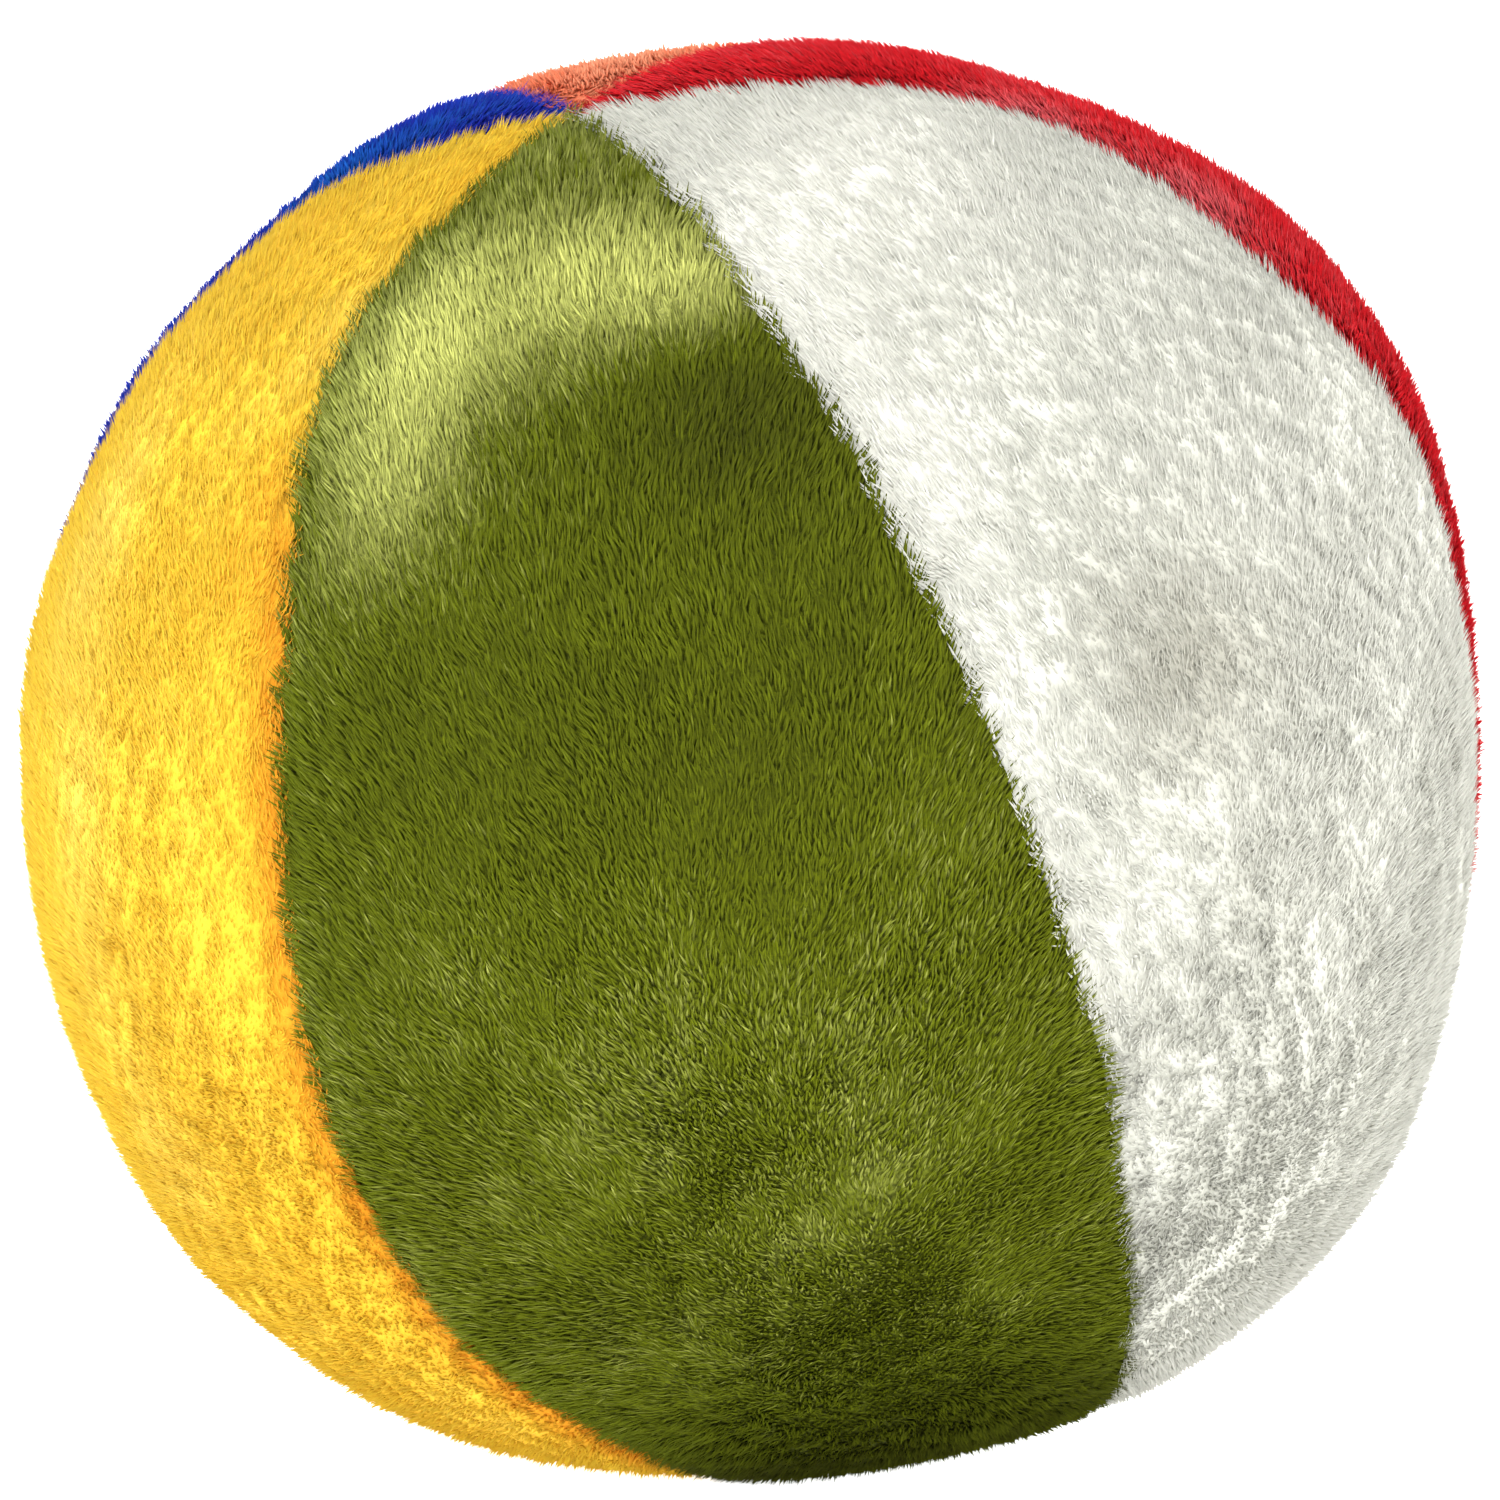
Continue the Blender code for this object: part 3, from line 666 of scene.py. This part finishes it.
def softened(node, name, bevel, finish):
    """A copy of a CAD node with its loose triangles merged and its edges rounded over."""
    obj = bpy.data.objects.new(name, frame["nodes"][node].data.copy())
    bpy.context.scene.collection.objects.link(obj)
    bm = bmesh.new()
    bm.from_mesh(obj.data)
    bmesh.ops.remove_doubles(bm, verts=bm.verts, dist=1e-6)
    bmesh.ops.dissolve_limit(bm, angle_limit=radians(1), verts=bm.verts, edges=bm.edges)
    bm.to_mesh(obj.data)
    bm.free()
    obj.data.materials.clear()
    obj.data.materials.append(finish)
    modifier = obj.modifiers.new("rounded_edges", "BEVEL")
    modifier.width = bevel
    modifier.segments = 2
    modifier.limit_method = "ANGLE"
    modifier.angle_limit = radians(35)
    obj.data.shade_smooth()
    obj.data.set_sharp_from_angle(angle=radians(40))
    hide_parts(node)
    return obj


def soften_all(pieces, finish):
    """For rows of a CAD node, its copy's name, how far its edges are rounded, and the body it rides on."""
    for node, name, bevel, body in pieces:
        piece = softened(node, name, bevel, finish)
        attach(piece, body)


def zinc_material():
    """Nickel-plated zinc casting, tumble polished: bright, with faint handling haze."""
    made, tree, shader = new_material("nickel_plated_zinc", Metallic=1.0)
    on_piece = add_node(tree, "ShaderNodeTexCoord", "Object")
    haze = add_node(tree, "ShaderNodeTexNoise", "Fac", Vector=on_piece, Scale=1 / (2.5 * MM), Detail=3.0)
    stops = ((0.3, "5E6267"), (0.7, "7F8388"))
    plating = add_node(tree, "ShaderNodeValToRGB", "Color", stops, Fac=haze)
    rough = add_node(tree, "ShaderNodeMapRange", "Result", Value=haze, To_Min=0.22, To_Max=0.42)
    dimples = add_node(tree, "ShaderNodeTexNoise", "Fac", Vector=on_piece, Scale=1 / (0.4 * MM))
    bump = add_node(tree, "ShaderNodeBump", "Normal", Height=dimples, Distance=0.02 * MM)
    feed(shader, Base_Color=plating, Roughness=rough, Normal=bump)
    return made


def nylon_material():
    """Moulded nylon coil, near black: a soft shine, with a slight grain from the heat setting."""
    made, tree, shader = new_material("moulded_nylon", Roughness=0.42)
    on_piece = add_node(tree, "ShaderNodeTexCoord", "Object")
    grain = add_node(tree, "ShaderNodeTexNoise", "Fac", Vector=on_piece, Scale=1 / (0.7 * MM))
    black = add_node(tree, "ShaderNodeValToRGB", "Color", ((0.3, "262628"), (0.7, "38383B")), Fac=grain)
    bump = add_node(tree, "ShaderNodeBump", "Normal", Height=grain, Distance=0.04 * MM)
    feed(shader, Base_Color=black, Normal=bump)
    return made


def thread_material():
    """Twisted polyester sewing thread, dark grey."""
    made, tree, shader = new_material("polyester_thread", Roughness=0.7)
    on_piece = add_node(tree, "ShaderNodeTexCoord", "Object")
    twist = add_node(tree, "ShaderNodeTexNoise", "Fac", Vector=on_piece, Scale=1 / (0.3 * MM))
    grey = add_node(tree, "ShaderNodeValToRGB", "Color", ((0.3, "2C2C2E"), (0.7, "56565A")), Fac=twist)
    feed(shader, Base_Color=grey)
    return made


def tape_material():
    """Woven polyester tape: a herringbone of ribs, drawn 1.1 mm wide so that it shows."""
    rib = 1.1 * MM
    fold = 1.6 * MM
    made, tree, shader = new_material("woven_polyester_tape", Roughness=0.85, Sheen_Weight=0.15)
    down = add_node(tree, "ShaderNodeAttribute", "Fac", settings=[("attribute_name", "down_the_tape")])
    over = add_node(tree, "ShaderNodeAttribute", "Fac", settings=[("attribute_name", "over_the_tape")])
    folded = add_node(tree, "ShaderNodeMath", settings=[("operation", "PINGPONG")], _0=over, _1=fold)
    slant = add_node(tree, "ShaderNodeMath", settings=[("operation", "ADD")], _0=down, _1=folded)
    per_metre = 2 * pi / rib
    turns = add_node(tree, "ShaderNodeMath", settings=[("operation", "MULTIPLY")], _0=slant, _1=per_metre)
    ribs = add_node(tree, "ShaderNodeMath", settings=[("operation", "SINE")], _0=turns)
    shade = add_node(tree, "ShaderNodeMapRange", "Result", Value=ribs, From_Min=-1.0, From_Max=1.0)
    grey = add_node(tree, "ShaderNodeValToRGB", "Color", ((0.0, "262628"), (1.0, "4A4A4D")), Fac=shade)
    bump = add_node(tree, "ShaderNodeBump", "Normal", Height=shade, Distance=0.12 * MM)
    feed(shader, Base_Color=grey, Normal=bump)
    return made


def make_zip():
    """The coil, tapes and stitches in place of the plain CAD rails, and hardware with rounded edges."""
    nylon, tape = nylon_material(), tape_material()
    stitches = make_stitches(thread_material())
    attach(stitches, "ball")
    for side, colour in ((-1, "orange"), (1, "blue")):
        coil = make_teeth(side, colour, nylon)
        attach(coil, "ball")
        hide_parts(f"zip_teeth_{colour}_side")
        weave = make_tape(side, colour, tape)
        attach(weave, "ball")
        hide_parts(f"zip_tape_{colour}_side")
    hardware = (
        ("zip_slider", "slider_body", 0.3 * MM, "slider"), ("zip_pull", "slider_pull", 0.3 * MM, "pull"),
        ("zip_top_stop", "top_stop", 0.4 * MM, "ball"),
        ("zip_bottom_stop", "bottom_stop", 0.4 * MM, "ball"),
    )
    soften_all(hardware, zinc_material())


# ------------------------------------------------------------------ the inner ball

def vinyl_material(name, low, high):
    """Calendered PVC film: glossy, with the soft cloudiness of a plasticised sheet."""
    made, tree, shader = new_material(name)
    on_piece = add_node(tree, "ShaderNodeTexCoord", "Object")
    cloud = add_node(tree, "ShaderNodeTexNoise", "Fac", Vector=on_piece, Scale=1 / (22 * MM), Detail=3.0)
    tinted = add_node(tree, "ShaderNodeValToRGB", "Color", ((0.3, low), (0.7, high)), Fac=cloud)
    rough = add_node(tree, "ShaderNodeMapRange", "Result", Value=cloud, To_Min=0.2, To_Max=0.38)
    ripple = add_node(tree, "ShaderNodeTexNoise", "Fac", Vector=on_piece, Scale=1 / (6 * MM))
    bump = add_node(tree, "ShaderNodeBump", "Normal", Height=ripple, Distance=0.15 * MM)
    feed(shader, Base_Color=tinted, Roughness=rough, Normal=bump)
    return made


def make_inner_ball():
    """The film panels keep their CAD shape. The moulded valve pieces get rounded edges."""
    film = vinyl_material("pvc_film", "AAB6BC", "C2CCD0")
    for name, node in frame["nodes"].items():
        if name.startswith("inner_"):
            node.data.materials.clear()
            node.data.materials.append(film)
    valve = (
        ("valve_cup", "cup", 0.3 * MM, "ball"), ("stopper_strap", "strap", 0.25 * MM, "ball"),
        ("valve_stopper", "stopper", 0.4 * MM, "stopper"), ("valve_flap", "flap", 0.2 * MM, "flap"),
    )
    soften_all(valve, vinyl_material("moulded_pvc", "C4CBCF", "D8DEE0"))


# ------------------------------------------------------------------ stage, lights and camera

FLOOR_R = 2.4
BEND_R = 1.2  # of the curve from the floor to the wall
WALL_TOP = 4.0
TABLE_GLOW = 1.1
LIGHT_SIZE = 1.4
# Each light's name, its place, and its power in watts.
LIGHTS = (
    ("key", (-0.6, -1.8, 1.9), 11), ("low", (0.3, -2.0, 0.3), 5),
    ("top", (0.0, 0.6, 2.5), 9), ("back", (0.6, 1.9, 1.4), 12),
)
SKY_STRENGTH = 0.55
CAMERA_DISTANCE = 1.3
CAMERA_RISE_DEG = 6.0
CAMERA_AIM = 1.9 * MM  # above the middle of the ball
SENSOR_WIDTH = 36.0  # this and the lens in millimetres
LENS = 112.4


def make_stage():
    """A pale lit floor that curves up into a wall all round: a flat, a quarter circle and a rise."""
    bend = [(FLOOR_R + BEND_R * sin(a), BEND_R - BEND_R * cos(a)) for a in np.linspace(0, pi / 2, 24)]
    profile = np.array([(0.0005, 0.0), (0.4, 0.0), (1.2, 0.0), *bend, (FLOOR_R + BEND_R, WALL_TOP)])
    turn = np.linspace(0, 2 * pi, 96, endpoint=False)
    radius, height = profile[:, 0][:, None], profile[:, 1][:, None] + 0 * turn
    points = np.stack((radius * np.cos(turn), radius * np.sin(turn), height), -1)
    stage = add_object("stage", points.reshape(-1, 3), grid_faces(len(profile), len(turn), closed=True))
    made, _, shader = new_material("lit_acrylic_table", Base_Color=linear("F7F7F6"), Roughness=0.9)
    feed(shader, Emission_Color=linear("FFFFFF"), Emission_Strength=TABLE_GLOW)
    stage.data.materials.append(made)


def add_light(name, place, power):
    """A round soft light, turned towards the middle of the ball."""
    light = bpy.data.lights.new(name, "AREA")
    light.shape = "DISK"
    light.size = LIGHT_SIZE
    light.energy = power
    obj = bpy.data.objects.new(name, light)
    bpy.context.scene.collection.objects.link(obj)
    obj.location = place
    look = np.array(place) - MIDDLE
    tilt = np.arctan2(np.hypot(look[0], look[1]), look[2])
    obj.rotation_euler = (tilt, 0, np.arctan2(look[0], -look[1]))


def make_lights():
    for row in LIGHTS:
        add_light(*row)
    world = bpy.data.worlds.new("studio")
    world.use_nodes = True
    feed(world.node_tree.nodes["Background"], Color=linear("FFFFFF"), Strength=SKY_STRENGTH)
    bpy.context.scene.world = world


def make_camera():
    """Straight on from -Y, a little above, far enough for the ball to fill the frame."""
    camera = bpy.data.cameras.new("camera")
    camera.sensor_width = SENSOR_WIDTH
    camera.lens = LENS
    rise = radians(CAMERA_RISE_DEG)
    obj = bpy.data.objects.new("camera", camera)
    bpy.context.scene.collection.objects.link(obj)
    aim = MIDDLE + np.array((0, 0, CAMERA_AIM))
    obj.location = aim + CAMERA_DISTANCE * np.array((0, -cos(rise), sin(rise)))
    obj.rotation_euler = (pi / 2 - rise, 0, 0)
    bpy.context.scene.camera = obj


make_cover()
make_zip()
make_inner_ball()
make_stage()
make_lights()
make_camera()
bpy.context.scene.view_settings.view_transform = "Standard"
